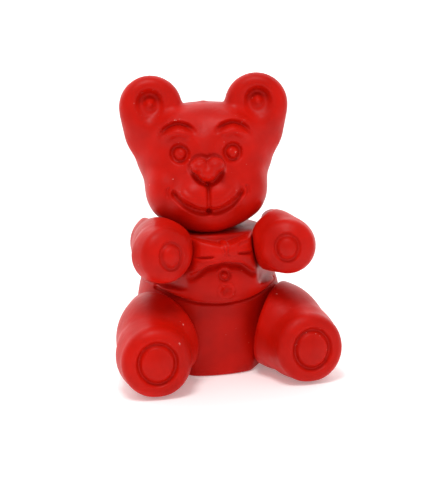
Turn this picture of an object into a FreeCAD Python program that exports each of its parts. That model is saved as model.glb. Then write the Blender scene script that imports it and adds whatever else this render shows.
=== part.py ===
"""Seated toy bear in soft vinyl: six hollow mouldings that turn on plastic peg joints.

Frame: millimetres, +Z up, the bear faces -Y and its left side is +X. The neck axis is the Z axis,
and the origin is where that axis meets the flat base.
"""

import FreeCAD, Part
import math
import os

V = FreeCAD.Vector

# ---- driving dimensions -------------------------------------------------------------------------
WALL = 2.2  # thickness of every vinyl moulding
JOINT_GAP = 0.3  # air between a limb's root face and the torso's facet
HEAD_TURN_DEG = -10.0  # the head rests turned a little to its own right
FIT = 0.02  # clearance of a pushed-in fit
RUN = 0.05  # radial clearance of a stem in its collar

NECK_Z = 48.4  # height of the joint face under the head

# where each limb's peg axis meets its joint face: (outward, forward, up), and the face's outward normal
SHOULDER_AT = (17.8, 5.0, 41.0)
SHOULDER_NORMAL = (0.92, 0.37, 0.12)
SHOULDER_LOWEST = 31.0  # the arm's facet on the torso ends at this height
HIP_AT = (19.4, 10.0, 14.0)
HIP_NORMAL = (0.804, 0.553, -0.215)

PAW_AT = (20.3, 32.2, 44.6)  # centre of the paw's pad
PAW_AXIS = (-0.30, 1.0, 0.06)  # the way the pad faces
PAW_R, PAW_LENGTH, PAW_EDGE = 8.6, 6.0, 2.6
PAW_RING_R, PAW_GROOVE_R = 3.7, 0.7
FOOT_AT = (25.4, 38.3, 11.8)  # centre of the foot's pad
FOOT_AXIS = (0.06, 1.0, 0.06)
FOOT_R, FOOT_LENGTH, FOOT_EDGE = 11.2, 10.0, 3.2
FOOT_RING_R, FOOT_GROOVE_R = 6.2, 0.9

# peg hardware by joint: stem, the flange inside the limb, collar, collar flange, washer (radii)
NECK_HW = {"stem": 4.0, "flange": 8.0, "collar": 5.4, "collar_flange": 7.2, "washer": 7.0}
SHOULDER_HW = {"stem": 2.5, "flange": 5.0, "collar": 3.8, "collar_flange": 4.8, "washer": 4.3}
HIP_HW = {"stem": 3.0, "flange": 6.5, "collar": 4.5, "collar_flange": 6.0, "washer": 5.6}
BOSS = 3.0  # depth of the torso's thick wall round a collar
COLLAR_FLANGE = 1.0
WASHER = 1.6
WASHER_GAP = 0.15
STEM_END = 0.8  # how far a stem stands past its washer
PEG_FLANGE = 1.8

PLUG_R = 11.0  # hole in the base, and the plug that closes it
PLUG_AT = (0.0, -1.0)  # its centre: (x, forward)


# ---- helpers ------------------------------------------------------------------------------------
def at(point, side=1):
    """A (outward, forward, up) triple as a vector in the part's frame."""
    return V(side * point[0], -point[1], point[2])


def direction(triple, side=1):
    v = at(triple, side)
    return v.normalize()


def rod(start, along, radius, length):
    """Cylinder from start, length long, in the direction along."""
    return Part.makeCylinder(radius, length, start, along)


def turned(start, along, outline):
    """Solid of revolution about the axis from start along; outline is a list of edges in (r, 0, t)."""
    face = Part.Face(Part.Wire(outline))
    solid = face.revolve(V(0, 0, 0), V(0, 0, 1), 360)
    solid.Placement = FreeCAD.Placement(start, FreeCAD.Rotation(V(0, 0, 1), along))
    return solid


def arc(centre_r, centre_t, radius, low_deg, high_deg):
    """Arc of the outline from one angle to another, through the middle of the two."""
    points = []
    for angle in (low_deg, (low_deg + high_deg) / 2, high_deg):
        a = math.radians(angle)
        points.append(V(centre_r + radius * math.cos(a), 0, centre_t + radius * math.sin(a)))
    return Part.Arc(*points).toShape()


def capsule(start, end, r_start, r_end):
    """Cone that runs tangent into a ball at each end."""
    along = end - start
    length = along.Length
    lean = math.degrees(math.asin((r_start - r_end) / length))
    tail = arc(0, 0, r_start, -90, lean)
    nose = arc(0, length, r_end, lean, 90)
    side = Part.makeLine(tail.lastVertex().Point, nose.firstVertex().Point)
    axis = Part.makeLine(V(0, 0, length + r_end), V(0, 0, -r_start))
    return turned(start, along, [tail, side, nose, axis])


def stub(pad, facing, radius, length, edge):
    """Round stub that ends in a flat pad with a rounded edge; a ball closes its other end."""
    tail = arc(0, 0, radius, -90, 0)
    side = Part.makeLine(V(radius, 0, 0), V(radius, 0, length - edge))
    corner = arc(radius - edge, length - edge, edge, 0, 90)
    top = Part.makeLine(V(radius - edge, 0, length), V(0, 0, length))
    axis = Part.makeLine(V(0, 0, length), V(0, 0, -radius))
    return turned(pad - facing * length, facing, [tail, side, corner, top, axis])


def oval(up, half_width, front, back):
    """Closed level ellipse of the given reach to the side, forward and back, from its +X end."""
    centre, deep = at((0, (front + back) / 2, up)), (front - back) / 2
    if half_width >= deep:
        curve = Part.Ellipse(centre + V(half_width, 0, 0), centre + V(0, deep, 0), centre)
        start = 0.0
    else:
        curve = Part.Ellipse(centre + V(0, deep, 0), centre - V(half_width, 0, 0), centre)
        start = -math.pi / 2
    return Part.Wire([curve.toShape(start, start + 2 * math.pi)])


def lofted(sections, inset):
    """Smooth closed solid through level ovals, taken in by inset all round."""
    low, high = sections[0][0], sections[-1][0]
    squeeze = 1 - 2 * inset / (high - low)
    rings = []
    for up, half_width, front, back in sections:
        middle, deep = (front + back) / 2, (front - back) / 2
        height = (low + high) / 2 + (up - (low + high) / 2) * squeeze
        side_in = max(half_width - inset, half_width * 0.3)
        deep_in = max(deep - inset, deep * 0.3)
        rings.append(oval(height, side_in, middle + deep_in, middle - deep_in))
    return Part.makeLoft(rings, True)


def half_space(point, outward, size=120.0):
    """A big block on the outward side of the plane through point."""
    block = Part.makeBox(size, size, size, V(-size / 2, -size / 2, 0))
    block.Placement = FreeCAD.Placement(point, FreeCAD.Rotation(V(0, 0, 1), outward))
    return block


def ring_groove(centre, axis, ring_r, groove_r):
    return Part.makeTorus(ring_r, groove_r, centre, axis)


# ---- joint hardware -----------------------------------------------------------------------------
class Joint:
    """Peg, collar and washer on one axis. The limb is on the axis's positive side of the face."""

    def __init__(self, face, axis, sizes, lowest=-10.0):
        self.face, self.axis, self.sizes, self.lowest = face, axis, sizes, lowest
        self.torso_face = -JOINT_GAP / 2
        self.limb_face = JOINT_GAP / 2
        self.washer_top = self.torso_face - BOSS - COLLAR_FLANGE - WASHER_GAP

    def disc(self, low, high, radius):
        return rod(self.face + self.axis * low, self.axis, radius, high - low)

    def clear_beyond(self, depth):
        """Block that clears the torso beyond its face, or beyond depth inside it, above lowest."""
        block = half_space(self.face + self.axis * (self.torso_face - depth), self.axis)
        return block.cut(half_space(V(0, 0, self.lowest), V(0, 0, -1)))

    def limb_side(self):
        return half_space(self.face + self.axis * self.limb_face, self.axis * -1)

    def collar_hole(self):
        return self.disc(self.torso_face - BOSS - 1, 1, self.sizes["collar"] + FIT)

    def limb_hole(self):
        return self.disc(-1, self.limb_face + WALL + 1, self.sizes["stem"] + FIT)

    def collar(self):
        inner = self.torso_face - BOSS
        tube = self.disc(inner, self.torso_face, self.sizes["collar"])
        flange = self.disc(inner - COLLAR_FLANGE, inner, self.sizes["collar_flange"])
        hole = self.disc(inner - 2, 1, self.sizes["stem"] + RUN)
        return tube.fuse(flange).cut(hole)

    def peg(self):
        low = self.washer_top - WASHER - STEM_END
        flange_at = self.limb_face + WALL
        stem = self.disc(low, flange_at, self.sizes["stem"])
        flange = self.disc(flange_at, flange_at + PEG_FLANGE, self.sizes["flange"])
        return stem.fuse(flange)

    def washer(self):
        ring = self.disc(self.washer_top - WASHER, self.washer_top, self.sizes["washer"])
        return ring.cut(self.disc(self.washer_top - 4, 1, self.sizes["stem"]))


# ---- head ---------------------------------------------------------------------------------------
# level sections of the head from its flat underside to its crown: (up, half width, front, back)
SKULL = (
    (48.55, 9.5, 12.0, -9.0),
    (50.0, 13.0, 16.4, -12.5),
    (53.0, 16.8, 20.3, -15.5),
    (57.0, 19.4, 22.3, -18.0),
    (62.0, 20.7, 22.3, -19.5),
    (67.0, 21.9, 20.6, -20.0),
    (73.0, 23.3, 17.2, -20.0),
    (79.0, 23.9, 15.0, -19.0),
    (84.0, 21.2, 12.6, -16.5),
    (87.6, 15.2, 9.2, -12.0),
    (89.5, 8.4, 5.0, -6.6),
    (90.0, 2.6, 1.4, -2.4),
)
EAR_AT, EAR_R, EAR_THICK, EAR_EDGE = (17.9, 3.4, 89.1), 10.9, 10.0, 4.4
EAR_DISH_R, EAR_DISH_BACK = 21.6, 20.6  # ball that hollows the ear's front, and its stand-off
NOSE_AT, NOSE_HALF, NOSE_R = (0, 19.2, 69.2), 2.2, 3.2
EYE_AT, EYE_GAZE = (8.7, 14.9, 74.5), (0.30, 1.0, 0.28)
EYE_RING_R, EYE_GROOVE_R = 2.6, 0.8


def ear(side, inset):
    """Round disc that faces forward, with a full edge."""
    radius, thick = EAR_R - inset, EAR_THICK - 2 * inset
    front = at(EAR_AT, side) + at((0, thick / 2, 0))
    disc = Part.makeCylinder(radius, thick, front, V(0, 1, 0))
    rims = [e for e in disc.Edges if e.Closed]
    return disc.makeFillet(min(EAR_EDGE, thick / 2 - 0.3), rims)


def ear_dish(side):
    front = at(EAR_AT, side) + at((0, EAR_THICK / 2 + EAR_DISH_BACK, 0))
    return Part.makeSphere(EAR_DISH_R, front)


def head_shell(neck):
    nose_side = V(NOSE_HALF, 0, 0)
    nose = capsule(at(NOSE_AT) - nose_side, at(NOSE_AT) + nose_side, NOSE_R, NOSE_R)
    outer = lofted(SKULL, 0).fuse([ear(1, 0), ear(-1, 0), nose])
    cavity = lofted(SKULL, WALL).fuse([ear(1, WALL), ear(-1, WALL)])
    for side in (1, -1):
        gaze = direction(EYE_GAZE, side)
        outer = outer.cut(ear_dish(side))
        outer = outer.cut(ring_groove(at(EYE_AT, side), gaze, EYE_RING_R, EYE_GROOVE_R))
    return outer.cut(cavity).cut(neck.limb_hole())


# ---- torso --------------------------------------------------------------------------------------
# level sections: the seat under the waistcoat, and the waistcoat from its hem to the neck
SEAT = (
    (0.0, 21.6, 19.0, -19.6),
    (4.0, 23.8, 19.8, -20.8),
    (12.0, 25.0, 20.6, -21.4),
    (20.0, 25.0, 21.0, -21.4),
    (27.0, 24.0, 21.4, -20.6),
)
WAISTCOAT = (
    (26.0, 24.1, 24.6, -20.8),
    (31.0, 23.8, 25.5, -20.0),
    (36.0, 23.0, 25.2, -18.8),
    (41.0, 21.4, 23.6, -17.0),
    (45.2, 19.6, 21.6, -14.8),
    (48.25, 17.0, 19.6, -12.5),
)
# round hollow in the tops of the arms that the head turns in: (up, radius)
HEAD_ROOM = ((46.8, 16.8), (50.0, 18.6), (53.0, 20.8), (57.0, 22.6), (62.0, 23.4), (70.0, 23.4))
ARM_LIFT_DEG = 10.0  # the arm's highest position, which the hollow also leaves room for
KNOT_AT, KNOT_R = (0, 20.6, 44.6), 3.6
WING_IN, WING_OUT = (2.5, 21.4, 44.0), (13.0, 17.4, 42.4)
WING_R = (2.6, 5.0)
BUTTONS = ((0, 25.3, 36.0), (0, 25.4, 30.5))
BUTTON_RING_R, BUTTON_GROOVE_R = 1.6, 0.6


def bow_tie():
    wings = [capsule(at(WING_IN, side), at(WING_OUT, side), *WING_R) for side in (1, -1)]
    return Part.makeSphere(KNOT_R, at(KNOT_AT)).fuse(wings)


def body_shell(neck, limbs):
    outer = lofted(SEAT, 0).fuse([lofted(WAISTCOAT, 0), bow_tie()])
    for button in BUTTONS:
        ring = ring_groove(at(button), V(0, -1, 0), BUTTON_RING_R, BUTTON_GROOVE_R)
        outer = outer.cut(ring)
    cavity = lofted(SEAT[:-1] + WAISTCOAT[1:], WALL)
    for joint in [neck, *limbs]:
        outer = outer.cut(joint.clear_beyond(0))
        cavity = cavity.cut(joint.clear_beyond(BOSS))
    shell = outer.cut(cavity)
    for joint in [neck, *limbs]:
        shell = shell.cut(joint.collar_hole())
    hole = Part.makeCylinder(PLUG_R, WALL + 3, at((*PLUG_AT, -1)))
    return shell.cut(hole)


def base_plug():
    """Disc that snaps into the hole in the base, flush with it, and a lip that holds it inside."""
    disc = Part.makeCylinder(PLUG_R - FIT, WALL + 0.1, at((*PLUG_AT, 0)))
    lip = Part.makeCylinder(PLUG_R + 0.9, 1.0, at((*PLUG_AT, WALL + 0.1)))
    dish = Part.makeCylinder(PLUG_R - 3.0, 2.0, at((*PLUG_AT, WALL - 0.4)))
    return disc.fuse(lip).cut(dish)


# ---- limbs --------------------------------------------------------------------------------------
# a limb is one capsule from root to wrist or ankle: (centre, radius) of its two ends
ARM = (((18.4, 5.6, 44.2), 10.7), ((20.0, 20.0, 44.6), 9.2))
LEG = (((17.6, 9.6, 15.8), 14.0), ((24.5, 27.0, 12.0), 11.8))


def limb_solid(ends, pad_at, pad_axis, pad_r, length, edge, side, inset):
    """The capsule and the stub that carries the pad, taken in by inset all round."""
    (start, r_start), (end, r_end) = ends
    stretch = capsule(at(start, side), at(end, side), r_start - inset, r_end - inset)
    facing = direction(pad_axis, side)
    pad = at(pad_at, side) - facing * inset
    return stretch.fuse(stub(pad, facing, pad_r - inset, length - inset, edge - inset / 2))


def arm_solid(side, inset):
    return limb_solid(ARM, PAW_AT, PAW_AXIS, PAW_R, PAW_LENGTH, PAW_EDGE, side, inset)


def leg_solid(side, inset):
    return limb_solid(LEG, FOOT_AT, FOOT_AXIS, FOOT_R, FOOT_LENGTH, FOOT_EDGE, side, inset)


def head_room(shoulder, side):
    """The room the head turns in, both with the arm at rest and with it raised."""
    rest = Part.makeLoft([oval(up, r, r, -r) for up, r in HEAD_ROOM], True)
    raised = rest.copy()
    raised.rotate(shoulder.face, shoulder.axis, side * ARM_LIFT_DEG)
    return rest, raised


def limb_shell(joint, solid, side, pad_at, pad_axis, ring_r, groove_r):
    """A hollow limb: flat root face on its joint, and a ring sunk in its pad."""
    ring = ring_groove(at(pad_at, side), direction(pad_axis, side), ring_r, groove_r)
    outer = solid(side, 0).cut(joint.limb_side()).cut(ring)
    root_wall = half_space(joint.face + joint.axis * (joint.limb_face + WALL), joint.axis * -1)
    cavity = solid(side, WALL).cut(root_wall)
    return outer.cut(cavity).cut(joint.limb_hole())


# ---- assembly -----------------------------------------------------------------------------------
def save(name, shape):
    solids = shape.Solids
    if len(solids) != 1 or not shape.isValid():
        print("CHECK", name, "solids", len(solids), "valid", shape.isValid())
    Part.makeCompound(solids).exportStep(f"parts/{name}.step")
    print(name, round(shape.Volume / 1000.0, 2), "cm3")


def main():
    os.makedirs("parts", exist_ok=True)
    neck = Joint(V(0, 0, NECK_Z), V(0, 0, 1), NECK_HW)
    joints = {}
    for label, side in (("left", 1), ("right", -1)):
        facing = direction(SHOULDER_NORMAL, side)
        shoulder = Joint(at(SHOULDER_AT, side), facing, SHOULDER_HW, SHOULDER_LOWEST)
        joints[f"{label}_shoulder"] = shoulder
        joints[f"{label}_hip"] = Joint(at(HIP_AT, side), direction(HIP_NORMAL, side), HIP_HW)

    head = head_shell(neck)
    head.rotate(V(0, 0, 0), V(0, 0, 1), HEAD_TURN_DEG)
    save("head_shell", head)
    save("body_shell", body_shell(neck, list(joints.values())))
    save("base_plug", base_plug())
    for label, side in (("left", 1), ("right", -1)):
        shoulder, hip = joints[f"{label}_shoulder"], joints[f"{label}_hip"]
        arm = limb_shell(shoulder, arm_solid, side, PAW_AT, PAW_AXIS, PAW_RING_R, PAW_GROOVE_R)
        for room in head_room(shoulder, side):
            arm = arm.cut(room)
        save(f"{label}_arm_shell", arm)
        leg = limb_shell(hip, leg_solid, side, FOOT_AT, FOOT_AXIS, FOOT_RING_R, FOOT_GROOVE_R)
        save(f"{label}_leg_shell", leg)
    for name, joint in {"neck": neck, **joints}.items():
        save(f"{name}_peg", joint.peg())
        save(f"{name}_collar", joint.collar())
        save(f"{name}_washer", joint.washer())


main()
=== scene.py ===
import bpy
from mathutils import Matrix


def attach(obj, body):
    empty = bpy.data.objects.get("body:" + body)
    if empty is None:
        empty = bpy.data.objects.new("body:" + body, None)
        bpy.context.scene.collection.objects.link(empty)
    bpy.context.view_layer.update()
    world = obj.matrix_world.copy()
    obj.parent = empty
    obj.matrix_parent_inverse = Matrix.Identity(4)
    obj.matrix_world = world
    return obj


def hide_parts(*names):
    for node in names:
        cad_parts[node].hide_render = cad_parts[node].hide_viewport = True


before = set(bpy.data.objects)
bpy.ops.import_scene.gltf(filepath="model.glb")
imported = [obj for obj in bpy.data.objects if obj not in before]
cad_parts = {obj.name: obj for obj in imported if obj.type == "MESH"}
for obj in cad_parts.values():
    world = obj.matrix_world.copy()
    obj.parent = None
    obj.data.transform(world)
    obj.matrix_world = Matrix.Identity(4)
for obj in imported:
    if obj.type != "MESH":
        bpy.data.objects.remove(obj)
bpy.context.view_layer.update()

import math

import bpy
import numpy as np
from mathutils import Matrix, Vector

# All modelling below is in millimetres as (x, F, z): x to the bear's left, F forward, z up.
# It becomes Blender metres as (x, -F, z) / 1000.
HEAD_TURN = math.radians(-10.0)
JOINT_GAP = 0.3
SHOULDER_AT, SHOULDER_N = (17.8, 5.0, 41.0), (0.92, 0.37, 0.12)
HIP_AT, HIP_N = (19.4, 10.0, 14.0), (0.804, 0.553, -0.215)
NECK_Z = 48.4
CROWN_Z = 90.2
EYE_X = 8.6
FACE_FRONT, CHEST_FRONT = 6.0, 12.0
ARM_FACET_LOWEST = 31.0
ARM_LIFT_DEG = 10.0
HEAD_ROOM_LOWEST = 46.8
HEAD_ROOM_Z = [HEAD_ROOM_LOWEST, 50.0, 53.0, 57.0, 62.0, 70.0]
HEAD_ROOM_R = [16.8, 18.6, 20.8, 22.6, 23.4, 23.4]


# ---- distance functions ---------------------------------------------------------------------
def unit(v):
    v = np.array(v, dtype=np.float64)
    return v / np.linalg.norm(v)


def egg(p, c, r):
    """Ellipsoid with centre c and half sizes r."""
    q = p - np.array(c)
    r = np.array(r)
    k0 = np.sqrt(((q / r) ** 2).sum(1)) + 1e-9
    k1 = np.sqrt(((q / r ** 2) ** 2).sum(1)) + 1e-9
    return k0 * (k0 - 1.0) / k1


def capsule(p, a, b, ra, rb):
    """Round cone from a to b, close to true distance for gentle tapers."""
    a, b = np.array(a, float), np.array(b, float)
    ab = b - a
    t = np.clip(((p - a) @ ab) / (ab @ ab), 0, 1)
    return np.sqrt(((p - a - t[:, None] * ab) ** 2).sum(1)) - (ra + (rb - ra) * t)


def slab(p, c, axis, r, half, edge):
    """Round disc: radius r, half thickness, rounded edge."""
    q = p - np.array(c)
    n = unit(axis)
    h = q @ n
    rad = np.sqrt(np.maximum((q ** 2).sum(1) - h ** 2, 0))
    dr, dh = rad - (r - edge), np.abs(h) - (half - edge)
    return np.minimum(np.maximum(dr, dh), 0) + np.hypot(np.maximum(dr, 0), np.maximum(dh, 0)) - edge


def join(a, b, k):
    """a and b together, with a fillet k wide."""
    h = np.maximum(k - np.abs(a - b), 0) / k
    return np.minimum(a, b) - h * h * k * 0.25


def carve(a, b, k):
    """a without b, with a soft edge k wide."""
    return -join(-a, b, k)


def both(a, b, k):
    """What a and b share, with a soft edge k wide."""
    return -join(-a, -b, k)


def bump(t):
    """Smooth hump: 1 at t = 0, 0 from |t| = 1 on."""
    t = np.clip(np.abs(t), 0, 1)
    return (1 - t * t) ** 2


def step(t):
    """Smooth rise from 0 at t = 0 to 1 at t = 1."""
    t = np.clip(t, 0, 1)
    return t * t * (3 - 2 * t)


def bend(points, n=24):
    """Smooth curve through a few points (Catmull-Rom)."""
    pts = np.array(points, float)
    ext = np.vstack([2 * pts[0] - pts[1], pts, 2 * pts[-1] - pts[-2]])
    out = []
    for i in range(1, len(ext) - 2):
        p0, p1, p2, p3 = ext[i - 1:i + 3]
        for t in np.linspace(0, 1, n // (len(pts) - 1) + 1)[:-1]:
            out.append(0.5 * (2 * p1 + (p2 - p0) * t + (2 * p0 - 5 * p1 + 4 * p2 - p3) * t ** 2
                              + (3 * p1 - p0 - 3 * p2 + p3) * t ** 3))
    out.append(pts[-1])
    return np.array(out)


def along(q, line):
    """For 2-D points: distance to the line, place along it from 0 to 1, and the side (+ left)."""
    best = np.full(len(q), 1e9)
    where = np.zeros(len(q))
    side = np.zeros(len(q))
    total = len(line) - 1
    for i in range(total):
        a, b = line[i], line[i + 1]
        ab = b - a
        t = np.clip(((q - a) @ ab) / (ab @ ab), 0, 1)
        off = q - a - t[:, None] * ab
        d = np.hypot(off[:, 0], off[:, 1])
        better = d < best
        best = np.where(better, d, best)
        where = np.where(better, (i + t) / total, where)
        side = np.where(better, np.sign(ab[0] * off[:, 1] - ab[1] * off[:, 0]), side)
    return best, where, side


def groove(d, p, points, width, depth, taper=0.25, lip=0.0, front=4.0):
    """Presses a line into the front of the shape, seen from the front as (x, z)."""
    line = bend(points)
    lo, hi = line.min(0) - width * 2.5, line.max(0) + width * 2.5
    m = (p[:, 1] > front) & (p[:, 0] > lo[0]) & (p[:, 0] < hi[0]) & (p[:, 2] > lo[1]) & (p[:, 2] < hi[1])
    m &= np.abs(d) < 4
    if not m.any():
        return d
    dist, t, side = along(p[m][:, [0, 2]], line)
    ends = step(t / taper) * step((1 - t) / taper) if taper else 1.0
    d = d.copy()
    d[m] += depth * ends * bump(dist / (width * (0.55 + 0.45 * ends)))
    if lip:
        d[m] -= lip * ends * bump((dist - width * 1.1) / (width * 1.1)) * (side > 0)
    return d


def pad_ring(d, p, at, axis, r, width, depth, oval=1.0):
    """Presses a ring into a pad, measured in the pad's own plane."""
    n = unit(axis)
    side = unit(np.cross(n, (0, 0, 1)))
    up = np.cross(side, n)
    q = p - np.array(at)
    rad = np.hypot(q @ side / oval, q @ up)
    near = np.abs(q @ n) < 4
    return d + np.where(near, depth * bump((rad - r) / width), 0)


def folded(p):
    """Points of both sides brought to the bear's left."""
    return np.column_stack([np.abs(p[:, 0]), p[:, 1], p[:, 2]])


def sections(rows):
    """Smooth level sections from rows of height, half width, front and back."""
    rows = np.array(rows, float)
    line = bend(rows, n=16 * (len(rows) - 1))
    z = np.maximum.accumulate(line[:, 0])
    return z, line[:, 1], (line[:, 2] + line[:, 3]) / 2, (line[:, 2] - line[:, 3]) / 2


def stacked(p, table, power):
    """Body built up from level sections, squarer for a higher power."""
    z, a, c, b = table
    h = np.clip(p[:, 2], z[0], z[-1])
    aa, cc, bb = np.interp(h, z, a), np.interp(h, z, c), np.interp(h, z, b)
    k = (np.abs(p[:, 0] / aa) ** power + np.abs((p[:, 1] - cc) / bb) ** power) ** (1 / power)
    return (k - 1) * np.minimum(aa, bb)


def beyond(p, at, normal, gap):
    """Positive on the outward side of a joint's face."""
    return (p - np.array(at)) @ unit(normal) - gap


# ---- the bear's shapes ----------------------------------------------------------------------
SKULL = sections([
    (46.6, 3.0, 6.0, -3.0), (48.2, 8.0, 13.6, -8.0), (50.4, 13.4, 18.2, -12.5), (53.5, 17.4, 20.9, -15.5),
    (57.5, 19.0, 22.0, -18.0), (62.0, 19.9, 20.9, -19.5), (67.0, 21.2, 18.6, -20.0),
    (73.0, 22.9, 15.6, -20.0), (79.0, 23.4, 13.9, -19.0), (84.0, 21.2, 12.0, -16.5),
    (87.6, 15.6, 9.0, -12.0), (89.4, 9.0, 5.4, -6.6), (90.1, 2.0, 1.0, -2.0)])
SEAT = sections([
    (-1.0, 20.6, 19.0, -19.0), (1.6, 22.6, 19.8, -20.2), (6.0, 24.2, 20.2, -21.0), (12.0, 25.0, 20.6, -21.4),
    (20.0, 25.0, 21.0, -21.4), (28.0, 23.8, 21.2, -20.6), (34.0, 22.0, 18.0, -18.0)])
WAISTCOAT = sections([
    (22.0, 23.8, 22.4, -20.8), (27.0, 23.6, 24.8, -20.8), (31.0, 23.2, 25.7, -20.0),
    (36.0, 23.0, 25.2, -18.8), (41.0, 21.4, 23.4, -17.0), (45.2, 19.8, 21.8, -15.0),
    (48.6, 17.4, 20.4, -12.5)])


def head(p):
    """The head in its own frame, facing straight forward."""
    m = folded(p)
    d = stacked(p, SKULL, 2.15)
    d = both(d, p[:, 2] - CROWN_Z, 5.0)
    d = join(d, egg(m, (0, -1.0, 73.4), (22.6, 17.5, 16.4)), 3.0)
    # muzzle, cheeks and chin
    d = join(d, egg(m, (0, 12.4, 59.6), (12.6, 10.6, 8.6)), 3.5)
    d = join(d, egg(m, (4.6, 15.4, 61.2), (6.6, 8.0, 5.9)), 2.2)
    d = join(d, egg(m, (0, 13.0, 53.6), (8.6, 8.6, 5.4)), 3.0)
    d = join(d, egg(m, (14.4, 8.0, 62.0), (5.6, 9.0, 7.5)), 3.5)
    d = join(d, capsule(m, (0, 10.5, 76.0), (0, 14.5, 69.0), 4.6, 5.0), 4.0)
    # brow ridge and forehead
    d = join(d, egg(m, (9.0, 7.4, 81.6), (7.6, 6.6, 5.0)), 3.5)
    # ears: full round discs that run down into the sides of the head
    ear = slab(m, (17.6, 3.2, 89.0), (-0.10, 1.0, 0.10), 10.5, 4.6, 4.4)
    ear = join(ear, egg(m, (20.4, 1.6, 81.5), (6.4, 5.2, 8.6)), 3.5)
    d = join(d, ear, 3.2)
    e = m - np.array([17.9, 0, 90.3])
    er = np.hypot(e[:, 0], e[:, 2])
    fore = np.where(m[:, 1] > 3.0, 1.0, 0.0)
    d = d + fore * 1.0 * bump(er / 8.2)
    # arched recess, deepest at the top, round a small raised dot
    tri = np.hypot(e[:, 0] * 0.95, (e[:, 2] + 0.3) * 0.86)
    deep = 1.0 + 0.75 * np.clip(e[:, 2] / 4.0, -1, 1)
    d = d + fore * 1.5 * deep * bump((tri - 2.7) / 2.2)
    d = d - fore * 0.5 * bump(er / 1.5)
    # eye sockets, brows, eyes
    q = np.hypot((m[:, 0] - EYE_X) / 1.15, m[:, 2] - 74.8)
    ahead = m[:, 1] > FACE_FRONT
    d = d + np.where(ahead, 1.0 * bump(q / 6.4), 0)
    d = groove(d, m, [(15.8, 79.0), (13.0, 82.2), (9.0, 83.7), (5.2, 82.6), (2.8, 80.6)],
               1.8, 2.0, taper=0.35, lip=0.8, front=FACE_FRONT)
    q = np.hypot(m[:, 0] - EYE_X, m[:, 2] - 74.4)
    d = d + np.where(ahead, 1.0 * bump((q - 2.5) / 1.25), 0)
    d = d - np.where(ahead, 0.8 * bump(q / 2.3), 0)
    # mouth: a wide smile, deepest in the middle, and the line up to the nose
    d = groove(d, m, [(-3.0, 56.9), (0.0, 56.4), (3.4, 56.7), (7.4, 58.6), (10.4, 61.2), (11.9, 63.8)],
               1.9, 1.6, taper=0.2, lip=0.6, front=FACE_FRONT)
    d = d + np.where(ahead, 0.9 * bump(np.hypot(p[:, 0] / 1.5, p[:, 2] - 56.6) / 1.2), 0)
    d = groove(d, m, [(0.0, 56.0), (0.0, 61.5), (0.0, 67.5)], 1.15, 0.95, taper=0.0, front=FACE_FRONT)
    d = groove(d, m, [(12.2, 64.6), (13.2, 62.4), (12.8, 60.2)], 1.0, 0.5, taper=0.3, front=FACE_FRONT)
    # nose: two soft lobes over a narrower tip
    nose = egg(m, (2.6, 19.8, 71.0), (3.0, 3.9, 2.5))
    nose = join(nose, egg(m, (0, 20.2, 68.7), (3.0, 4.0, 2.8)), 1.4)
    d = d + np.where(ahead, 0.7 * bump((nose - 0.7) / 1.3), 0)
    d = join(d, nose, 0.35)
    # flat underside on the neck joint
    return np.maximum(d, NECK_Z + JOINT_GAP / 2 - p[:, 2])


def head_posed(p):
    """The head turned the way it rests."""
    c, s = math.cos(HEAD_TURN), math.sin(HEAD_TURN)
    x, y = p[:, 0], -p[:, 1]
    return head(np.column_stack([x * c + y * s, -(-x * s + y * c), p[:, 2]]))


def bow(m):
    """The bow tie's two wings and its knot, for points already folded to one side."""
    x, z = m[:, 0], m[:, 2]
    fan = np.clip((x - 1.5) / 11.0, 0, 1)
    mid = 43.4 - 1.2 * fan
    tall = 2.6 + 3.7 * fan
    scallop = 0.45 * np.sin(x * 0.75 + 0.6) * (z < mid)
    front = 27.6 - 0.034 * x ** 2 + 1.0 * np.cos((z - mid) / tall * 1.4)
    d = both(np.abs(z - mid) - tall - scallop, m[:, 1] - front, 1.2)
    d = np.maximum(d, 10 - m[:, 1])
    d = np.maximum(d, x - 13.6) * 0.8
    knot = egg(m, (0, 24.4, 44.0), (2.0, 4.6, 3.2))
    return d, knot


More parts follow.
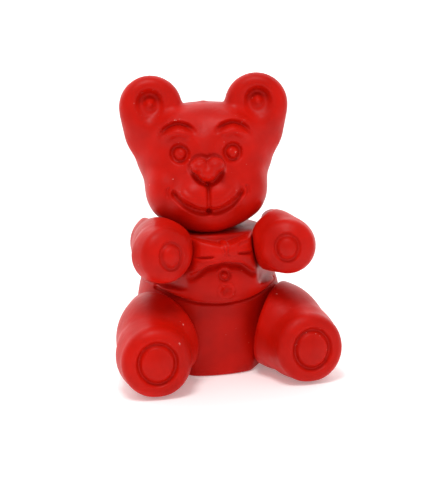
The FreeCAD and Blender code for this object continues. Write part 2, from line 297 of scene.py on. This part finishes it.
def torso(p):
    """The torso, its waistcoat and bow tie."""
    m = folded(p)
    seat = both(stacked(m, SEAT, 2.2), p[:, 2] - 33.0, 2.0)
    coat = stacked(m, WAISTCOAT, 2.1)
    # the hem hangs lower in the middle of the belly
    hem = 25.6 + 0.012 * m[:, 0] ** 2
    coat = both(coat, hem - p[:, 2], 1.6)
    d = join(seat, coat, 0.9)
    d = groove(d, m, [(-4, 25.6), (0, 25.4), (8, 26.1), (14, 27.7), (20, 30.0)], 1.1, 0.7, taper=0.0)
    wings, knot = bow(m)
    d = d + np.where((p[:, 2] > 33) & (p[:, 2] < 46), 0.8 * bump((wings - 1.0) / 1.6), 0)
    d = join(d, wings, 0.5)
    d = join(d, knot, 0.5)
    # folds in the bow
    d = groove(d, p, [(-3.2, 42.6), (-7.0, 42.2), (-12.5, 42.0)],
               0.75, 0.75, taper=0.22, lip=0.35, front=CHEST_FRONT)
    d = groove(d, p, [(3.2, 43.4), (7.0, 42.9), (12.5, 42.6)],
               0.75, 0.75, taper=0.22, lip=0.35, front=CHEST_FRONT)
    d = groove(d, p, [(3.4, 45.0), (6.0, 46.2), (10.0, 46.6)], 0.8, 0.4, taper=0.3, front=CHEST_FRONT)
    d = groove(d, p, [(-1.0, 45.6), (-0.4, 44.0), (-0.9, 42.2)], 0.5, 0.35, taper=0.3, front=CHEST_FRONT)
    d = groove(d, p, [(1.0, 45.4), (0.5, 43.8), (1.1, 42.0)], 0.5, 0.35, taper=0.3, front=CHEST_FRONT)
    # buttons: a ring round a small dome, and a dimple
    q = np.hypot(p[:, 0], p[:, 2] - 35.6)
    ahead = p[:, 1] > CHEST_FRONT
    d = d + np.where(ahead, 0.75 * bump((q - 1.55) / 0.95), 0) - np.where(ahead, 0.35 * bump(q / 1.1), 0)
    q = np.hypot(p[:, 0] - 0.3, p[:, 2] - 30.5)
    d = d + np.where(ahead, 1.0 * bump(q / 2.1), 0) - np.where(ahead, 0.35 * bump((q - 2.4) / 1.0), 0)
    # facets for the arms and legs, the flat top and the flat base
    arm_room = both(-beyond(m, SHOULDER_AT, SHOULDER_N, -JOINT_GAP / 2), ARM_FACET_LOWEST - p[:, 2], 1.5)
    d = carve(d, arm_room, 0.9)
    d = both(d, beyond(m, HIP_AT, HIP_N, -JOINT_GAP / 2), 0.9)
    d = both(d, p[:, 2] - (NECK_Z - JOINT_GAP / 2), 0.8)
    return both(d, -p[:, 2], 1.0)


def head_room(p):
    """Inside of the round hollow that the head turns in."""
    r = np.interp(p[:, 2], HEAD_ROOM_Z, HEAD_ROOM_R)
    return np.maximum(np.hypot(p[:, 0], p[:, 1]) - r, HEAD_ROOM_LOWEST - p[:, 2])


def swung(p, at, axis, degrees):
    """Points turned about a joint's axis."""
    a = math.radians(degrees)
    n = unit(axis)
    q = p - np.array(at)
    turned = q * math.cos(a) + np.cross(n, q) * math.sin(a) + np.outer(q @ n, n) * (1 - math.cos(a))
    return turned + np.array(at)


PAW_AT, PAW_AXIS = (19.4, 31.6, 44.8), (-0.34, 1.0, 0.10)
FOOT_AT, FOOT_AXIS = (25.4, 38.2, 11.9), (0.05, 1.0, 0.10)


def arm(p):
    """The left arm."""
    n = unit(PAW_AXIS)
    d = capsule(p, (17.2, 5.6, 44.2), (18.6, 20.0, 44.6), 10.2, 9.2)
    d = join(d, capsule(p, (19.0, 18.0, 44.8), tuple(np.array(PAW_AT) - n * 5.5), 9.2, 8.5), 4.0)
    paw = slab(p, tuple(np.array(PAW_AT) - n * 5.0), PAW_AXIS, 8.6, 5.0, 2.6)
    d = join(d, paw, 2.0)
    # the face of the paw is dished inside its rim, round a raised middle
    d = pad_ring(d, p, PAW_AT, PAW_AXIS, 3.9, 1.3, 0.95, 0.92)
    d = pad_ring(d, p, PAW_AT, PAW_AXIS, 0.0, 3.0, -0.35)
    d = both(d, JOINT_GAP / 2 - beyond(p, SHOULDER_AT, SHOULDER_N, 0.0), 1.6)
    d = carve(d, head_room(p), 3.5)
    return carve(d, head_room(swung(p, SHOULDER_AT, SHOULDER_N, ARM_LIFT_DEG)), 3.5)


def leg(p):
    """The left leg."""
    n = unit(FOOT_AXIS)
    d = capsule(p, (17.6, 9.6, 15.8), (24.4, 26.5, 12.4), 14.0, 12.0)
    d = join(d, egg(p, (21.0, 17.0, 15.0), (13.4, 14.5, 14.0)), 4.0)
    foot = slab(p, tuple(np.array(FOOT_AT) - n * 7.0), FOOT_AXIS, 11.2, 7.0, 3.4)
    d = join(d, foot, 3.0)
    d = pad_ring(d, p, FOOT_AT, FOOT_AXIS, 6.3, 1.35, 1.15, 0.93)
    d = pad_ring(d, p, FOOT_AT, FOOT_AXIS, 0.0, 5.0, -0.45)
    d = both(d, JOINT_GAP / 2 - beyond(p, HIP_AT, HIP_N, 0.0), 1.8)
    return both(d, 0.15 - p[:, 2], 1.5)


def mirrored(shape):
    """The same shape on the bear's right."""
    return lambda p: shape(p * np.array([-1.0, 1.0, 1.0]))


# ---- from distance to mesh ------------------------------------------------------------------
def sample(shape, lo, hi, h):
    """Grid of distances: coarse everywhere, fine only near the surface."""
    lo, hi = np.array(lo, float), np.array(hi, float)
    n = np.ceil((hi - lo) / h).astype(int) + 1
    k = 4
    nc = (n - 1) // k + 2
    axes = [lo[i] + np.arange(nc[i]) * h * k for i in range(3)]
    grid = np.stack(np.meshgrid(*axes, indexing="ij"), -1).reshape(-1, 3)
    coarse = shape(grid).reshape(nc)
    fine = coarse.repeat(k, 0).repeat(k, 1).repeat(k, 2)[:n[0], :n[1], :n[2]]
    near = np.abs(coarse) < h * k * 1.2 + 2.2
    block = near.copy()
    for ax in range(3):
        block[tuple(slice(None, -1) if i == ax else slice(None) for i in range(3))] |= \
            near[tuple(slice(1, None) if i == ax else slice(None) for i in range(3))]
    mask = block.repeat(k, 0).repeat(k, 1).repeat(k, 2)[:n[0], :n[1], :n[2]]
    at = np.argwhere(mask)
    values = shape(lo + at * h)
    fine = fine.astype(float)
    fine[mask] = values
    return fine, lo


def surface(f, lo, h):
    """Naive surface nets: one vertex in each cell that the surface crosses."""
    inside = f < 0
    n = np.array(f.shape) - 1
    corners = [(i, j, k) for i in (0, 1) for j in (0, 1) for k in (0, 1)]
    cut = [slice(0, -1), slice(1, None)]
    count = sum(inside[cut[i], cut[j], cut[k]].astype(np.int8) for i, j, k in corners)
    active = (count > 0) & (count < 8)
    cells = np.argwhere(active)
    index = np.full(n, -1)
    index[active] = np.arange(len(cells))
    total, hits = np.zeros((len(cells), 3)), np.zeros(len(cells))
    for a in corners:
        for ax in range(3):
            if a[ax]:
                continue
            b = list(a)
            b[ax] = 1
            fa = f[tuple((cells + a).T)]
            fb = f[tuple((cells + b).T)]
            cross = (fa < 0) != (fb < 0)
            t = fa / np.where(cross, fa - fb, 1)
            point = np.array(a, float) + np.zeros((len(cells), 3))
            point[:, ax] = t
            total += point * cross[:, None]
            hits += cross
    verts = lo + (cells + total / hits[:, None]) * h
    quads = []
    for ax in range(3):
        u, v = (ax + 1) % 3, (ax + 2) % 3
        first = tuple(slice(0, -1) if i == ax else slice(1, -1) for i in range(3))
        second = tuple(slice(1, None) if i == ax else slice(1, -1) for i in range(3))
        change = inside[first] != inside[second]
        e = np.argwhere(change)
        e[:, u] += 1
        e[:, v] += 1
        down = inside[tuple(e.T)]
        du, dv = np.zeros(3, int), np.zeros(3, int)
        du[u], dv[v] = 1, 1
        q = np.stack([index[tuple((e - o).T)] for o in (du + dv, dv, 0 * du, du)], 1)
        q[~down] = q[~down][:, ::-1]
        quads.append(q)
    return verts, np.vstack(quads)


def slope(shape, v, e=0.05):
    """Gradient by central differences."""
    g = np.zeros_like(v)
    for ax in range(3):
        o = np.zeros(3)
        o[ax] = e
        g[:, ax] = (shape(v + o) - shape(v - o)) / (2 * e)
    return g


def sculpt(name, shape, lo, hi, h):
    """Mesh object of the shape, with how far each point stands out as the attribute 'edge'."""
    f, lo = sample(shape, lo, hi, h)
    verts, quads = surface(f, lo, h)
    for _ in range(2):
        g = slope(shape, verts)
        length2 = np.maximum((g ** 2).sum(1), 0.2)
        move = -shape(verts)[:, None] * g / length2[:, None]
        verts += np.clip(move, -h, h)
    g = slope(shape, verts, 0.3)
    normal = g / np.maximum(np.linalg.norm(g, axis=1), 1e-6)[:, None]
    edge = (shape(verts - normal * 1.2) + 1.2) * 0.9 + shape(verts + normal * 1.2) - 1.2
    mesh = bpy.data.meshes.new(name)
    points = np.column_stack([verts[:, 0], -verts[:, 1], verts[:, 2]]) / 1000.0
    quads = quads[:, ::-1]
    mesh.vertices.add(len(points))
    mesh.vertices.foreach_set("co", points.ravel())
    mesh.loops.add(quads.size)
    mesh.loops.foreach_set("vertex_index", quads.ravel().astype(np.int32))
    mesh.polygons.add(len(quads))
    mesh.polygons.foreach_set("loop_start", (np.arange(len(quads)) * 4).astype(np.int32))
    mesh.polygons.foreach_set("loop_total", np.full(len(quads), 4, np.int32))
    mesh.update()
    mesh.validate()
    mesh.polygons.foreach_set("use_smooth", np.ones(len(mesh.polygons), bool))
    layer = mesh.attributes.new("edge", "FLOAT", "POINT")
    layer.data.foreach_set("value", np.clip(edge, -1, 1).astype(np.float32))
    obj = bpy.data.objects.new(name, mesh)
    bpy.context.scene.collection.objects.link(obj)
    return obj


# ---- materials ------------------------------------------------------------------------------
def linear(r, g, b):
    """Scene colour from 0-255 display values (all above the dark straight part of the curve)."""
    return tuple(((c / 255 + 0.055) / 1.055) ** 2.4 for c in (r, g, b)) + (1.0,)


def shaded(colour, share):
    """The same colour, darker."""
    return tuple(c * share for c in colour[:3]) + (1.0,)


def vinyl(name, base, rough=0.42, scuffs=True):
    """Soft vinyl: mottled, with painted shade darkening the hollows, and rubbed pale on edges."""
    mat = bpy.data.materials.new(name)
    mat.use_nodes = True
    nt = mat.node_tree
    shader = nt.nodes["Principled BSDF"]
    new, link = nt.nodes.new, nt.links.new
    coords = new("ShaderNodeTexCoord")
    shader.inputs["IOR"].default_value = 1.46
    shader.inputs["Specular IOR Level"].default_value = 0.15
    shader.inputs["Subsurface Weight"].default_value = 0.12
    shader.inputs["Subsurface Radius"].default_value = (1.0, 0.12, 0.08)
    shader.inputs["Subsurface Scale"].default_value = 0.0012

    def noise(scale, detail, grit=0.55):
        n = new("ShaderNodeTexNoise")
        n.inputs["Scale"].default_value = scale
        n.inputs["Detail"].default_value = detail
        n.inputs["Roughness"].default_value = grit
        link(coords.outputs["Object"], n.inputs["Vector"])
        return n.outputs["Fac"]

    def ramp(src, low, high, a=0.0, b=1.0):
        m = new("ShaderNodeMapRange")
        m.inputs["From Min"].default_value = low
        m.inputs["From Max"].default_value = high
        m.inputs["To Min"].default_value = a
        m.inputs["To Max"].default_value = b
        link(src, m.inputs["Value"])
        return m.outputs["Result"]

    def maths(op, a, b):
        m = new("ShaderNodeMath")
        m.operation = op
        for i, v in enumerate((a, b)):
            if isinstance(v, (int, float)):
                m.inputs[i].default_value = v
            else:
                link(v, m.inputs[i])
        return m.outputs[0]

    def mix(fac, a, b):
        m = new("ShaderNodeMix")
        m.data_type = "RGBA"
        link(fac, m.inputs[0])
        for i, v in ((6, a), (7, b)):
            if isinstance(v, tuple):
                m.inputs[i].default_value = v
            else:
                link(v, m.inputs[i])
        return m.outputs[2]

    colour = mix(ramp(noise(90.0, 3.0), 0.35, 0.68), shaded(base, 0.80), base)
    edge = new("ShaderNodeAttribute")
    edge.attribute_name = "edge"
    # painted shade: the colour is darkened in hollows and creases, where shade falls
    hollow = ramp(edge.outputs["Fac"], -0.02, -0.45)
    colour = mix(maths("MULTIPLY", hollow, 0.35), colour, shaded(base, 0.62))
    roughness = ramp(noise(160.0, 4.0), 0.3, 0.75, rough - 0.05, rough + 0.10)
    if scuffs:
        proud = ramp(edge.outputs["Fac"], 0.05, 0.42)
        speck = ramp(noise(900.0, 3.0, 0.65), 0.66, 0.72)
        patch = ramp(noise(110.0, 2.0), 0.48, 0.62)
        rub = maths("MULTIPLY", maths("MULTIPLY", proud, speck), patch)
        stray = maths("MULTIPLY", ramp(noise(700.0, 2.0, 0.5), 0.765, 0.785), 0.5)
        worn = maths("MAXIMUM", maths("MULTIPLY", rub, 0.85), stray)
        colour = mix(worn, colour, linear(246, 190, 180))
        roughness = maths("ADD", roughness, maths("MULTIPLY", worn, 0.25))
    link(colour, shader.inputs["Base Color"])
    link(roughness, shader.inputs["Roughness"])
    grain = new("ShaderNodeBump")
    grain.inputs["Strength"].default_value = 0.28
    grain.inputs["Distance"].default_value = 0.0003
    height = maths("ADD", noise(520.0, 4.0), maths("MULTIPLY", noise(140.0, 2.0), 1.6))
    link(height, grain.inputs["Height"])
    link(grain.outputs["Normal"], shader.inputs["Normal"])
    return mat


def plain_plastic(name, colour, rough):
    """Hard moulded plastic, faintly mottled."""
    mat = bpy.data.materials.new(name)
    mat.use_nodes = True
    nt = mat.node_tree
    shader = nt.nodes["Principled BSDF"]
    coords = nt.nodes.new("ShaderNodeTexCoord")
    n = nt.nodes.new("ShaderNodeTexNoise")
    n.inputs["Scale"].default_value = 300.0
    nt.links.new(coords.outputs["Object"], n.inputs["Vector"])
    m = nt.nodes.new("ShaderNodeMix")
    m.data_type = "RGBA"
    m.inputs[6].default_value = shaded(colour, 0.85)
    m.inputs[7].default_value = colour
    nt.links.new(n.outputs["Fac"], m.inputs[0])
    nt.links.new(m.outputs[2], shader.inputs["Base Color"])
    shader.inputs["Roughness"].default_value = rough
    return mat


red = vinyl("red_vinyl", (0.60, 0.0055, 0.0009, 1.0))
plug_red = vinyl("plug_red", (0.60, 0.006, 0.003, 1.0), 0.5, False)
ivory = plain_plastic("ivory_plastic", linear(226, 222, 212), 0.4)
graphite = plain_plastic("graphite_plastic", linear(70, 72, 76), 0.45)

# ---- the six mouldings ----------------------------------------------------------------------
STEP = 0.32
FINE = 0.28
parts = [
    ("head", "head_shell", head_posed, (-31, -22.5, 47), (31, 27, 101.5), STEP, "head"),
    ("body", "body_shell", torso, (-27, -23, -1), (27, 31, 50), STEP, "torso"),
    ("left_arm", "left_arm_shell", arm, (5, -8, 32), (33, 37, 58), FINE, "left_arm"),
    ("right_arm", "right_arm_shell", mirrored(arm), (-33, -8, 32), (-5, 37, 58), FINE, "right_arm"),
    ("left_leg", "left_leg_shell", leg, (8, -6, -1), (39, 41, 32), FINE, "left_leg"),
    ("right_leg", "right_leg_shell", mirrored(leg), (-39, -6, -1), (-8, 41, 32), FINE, "right_leg"),
]
for name, node, shape, lo, hi, h, body in parts:
    piece = sculpt(name + "_vinyl", shape, lo, hi, h)
    piece.data.materials.append(red)
    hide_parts(node)
    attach(piece, body)

FINISHES = {"peg": ivory, "washer": ivory, "collar": graphite, "plug": plug_red}
for node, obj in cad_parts.items():
    kind = node.rsplit("_", 1)[-1]
    if kind in FINISHES:
        obj.data.materials.clear()
        obj.data.materials.append(FINISHES[kind])

# ---- floor, light and camera ----------------------------------------------------------------
def sheet(name, corners, grey, glow):
    """Flat pale sheet that gives off a little light, and its shader."""
    mesh = bpy.data.meshes.new(name)
    mesh.from_pydata(corners, [], [(0, 1, 2, 3)])
    obj = bpy.data.objects.new(name, mesh)
    bpy.context.scene.collection.objects.link(obj)
    mat = bpy.data.materials.new(name + "_white")
    mat.use_nodes = True
    shader = mat.node_tree.nodes["Principled BSDF"]
    shader.inputs["Base Color"].default_value = (grey, grey, grey, 1)
    shader.inputs["Emission Color"].default_value = (1, 1, 1, 1)
    shader.inputs["Emission Strength"].default_value = glow
    mesh.materials.append(mat)
    return obj, shader


floor, floor_shader = sheet("floor", [(-4, -4, 0), (4, -4, 0), (4, 4, 0), (-4, 4, 0)], 0.98, 0.22)
floor_shader.inputs["Roughness"].default_value = 0.7
floor_shader.inputs["Specular IOR Level"].default_value = 0.2
wall, _ = sheet("backdrop", [(-5, 1.6, -0.5), (5, 1.6, -0.5), (5, 1.6, 4), (-5, 1.6, 4)], 0.9, 1.0)

world = bpy.data.worlds.new("studio")
world.use_nodes = True
world.node_tree.nodes["Background"].inputs["Color"].default_value = (1.0, 1.0, 1.0, 1.0)
world.node_tree.nodes["Background"].inputs["Strength"].default_value = 0.50
bpy.context.scene.world = world


def softbox(name, at, aim, size, watts):
    """Round area light pointed at a spot."""
    data = bpy.data.lights.new(name, "AREA")
    data.shape = "DISK"
    data.size = size
    data.energy = watts
    obj = bpy.data.objects.new(name, data)
    obj.location = at
    obj.rotation_euler = (Vector(aim) - Vector(at)).to_track_quat("-Z", "Y").to_euler()
    bpy.context.scene.collection.objects.link(obj)


MIDDLE = (0, 0, 0.050)
softbox("key", (-0.10, -0.22, 0.62), MIDDLE, 0.22, 1.9)
softbox("fill", (0.50, -0.45, 0.25), MIDDLE, 0.40, 0.25)

# the camera stands 400 mm from the middle of the toy, a little above it and to the bear's right
AZ, EL, ROLL = math.radians(-12.4), math.radians(10.2), math.radians(-1.7)
DISTANCE, AIM_RIGHT, AIM_DOWN = 0.400, 0.00432, 0.00790
middle = Vector(MIDDLE)
back = Vector((math.sin(AZ) * math.cos(EL), -math.cos(AZ) * math.cos(EL), math.sin(EL)))
right = Vector((math.cos(AZ), math.sin(AZ), 0))
up = back.cross(right)
tilt = Matrix.Rotation(ROLL, 3, back)
right, up = tilt @ right, tilt @ up
cam_data = bpy.data.cameras.new("camera")
cam_data.sensor_fit = "VERTICAL"
cam_data.sensor_height = 36.0
cam_data.lens = 86.8
cam_data.clip_start = 0.01
cam = bpy.data.objects.new("camera", cam_data)
place = middle + back * DISTANCE
aim = middle + right * AIM_RIGHT - up * AIM_DOWN
view_back = (place - aim).normalized()
view_right = up.cross(view_back).normalized()
view_up = view_back.cross(view_right)
cam.matrix_world = Matrix((
    (view_right.x, view_up.x, view_back.x, place.x),
    (view_right.y, view_up.y, view_back.y, place.y),
    (view_right.z, view_up.z, view_back.z, place.z),
    (0, 0, 0, 1)))
bpy.context.scene.collection.objects.link(cam)
bpy.context.scene.camera = cam
bpy.context.scene.view_settings.view_transform = "Standard"
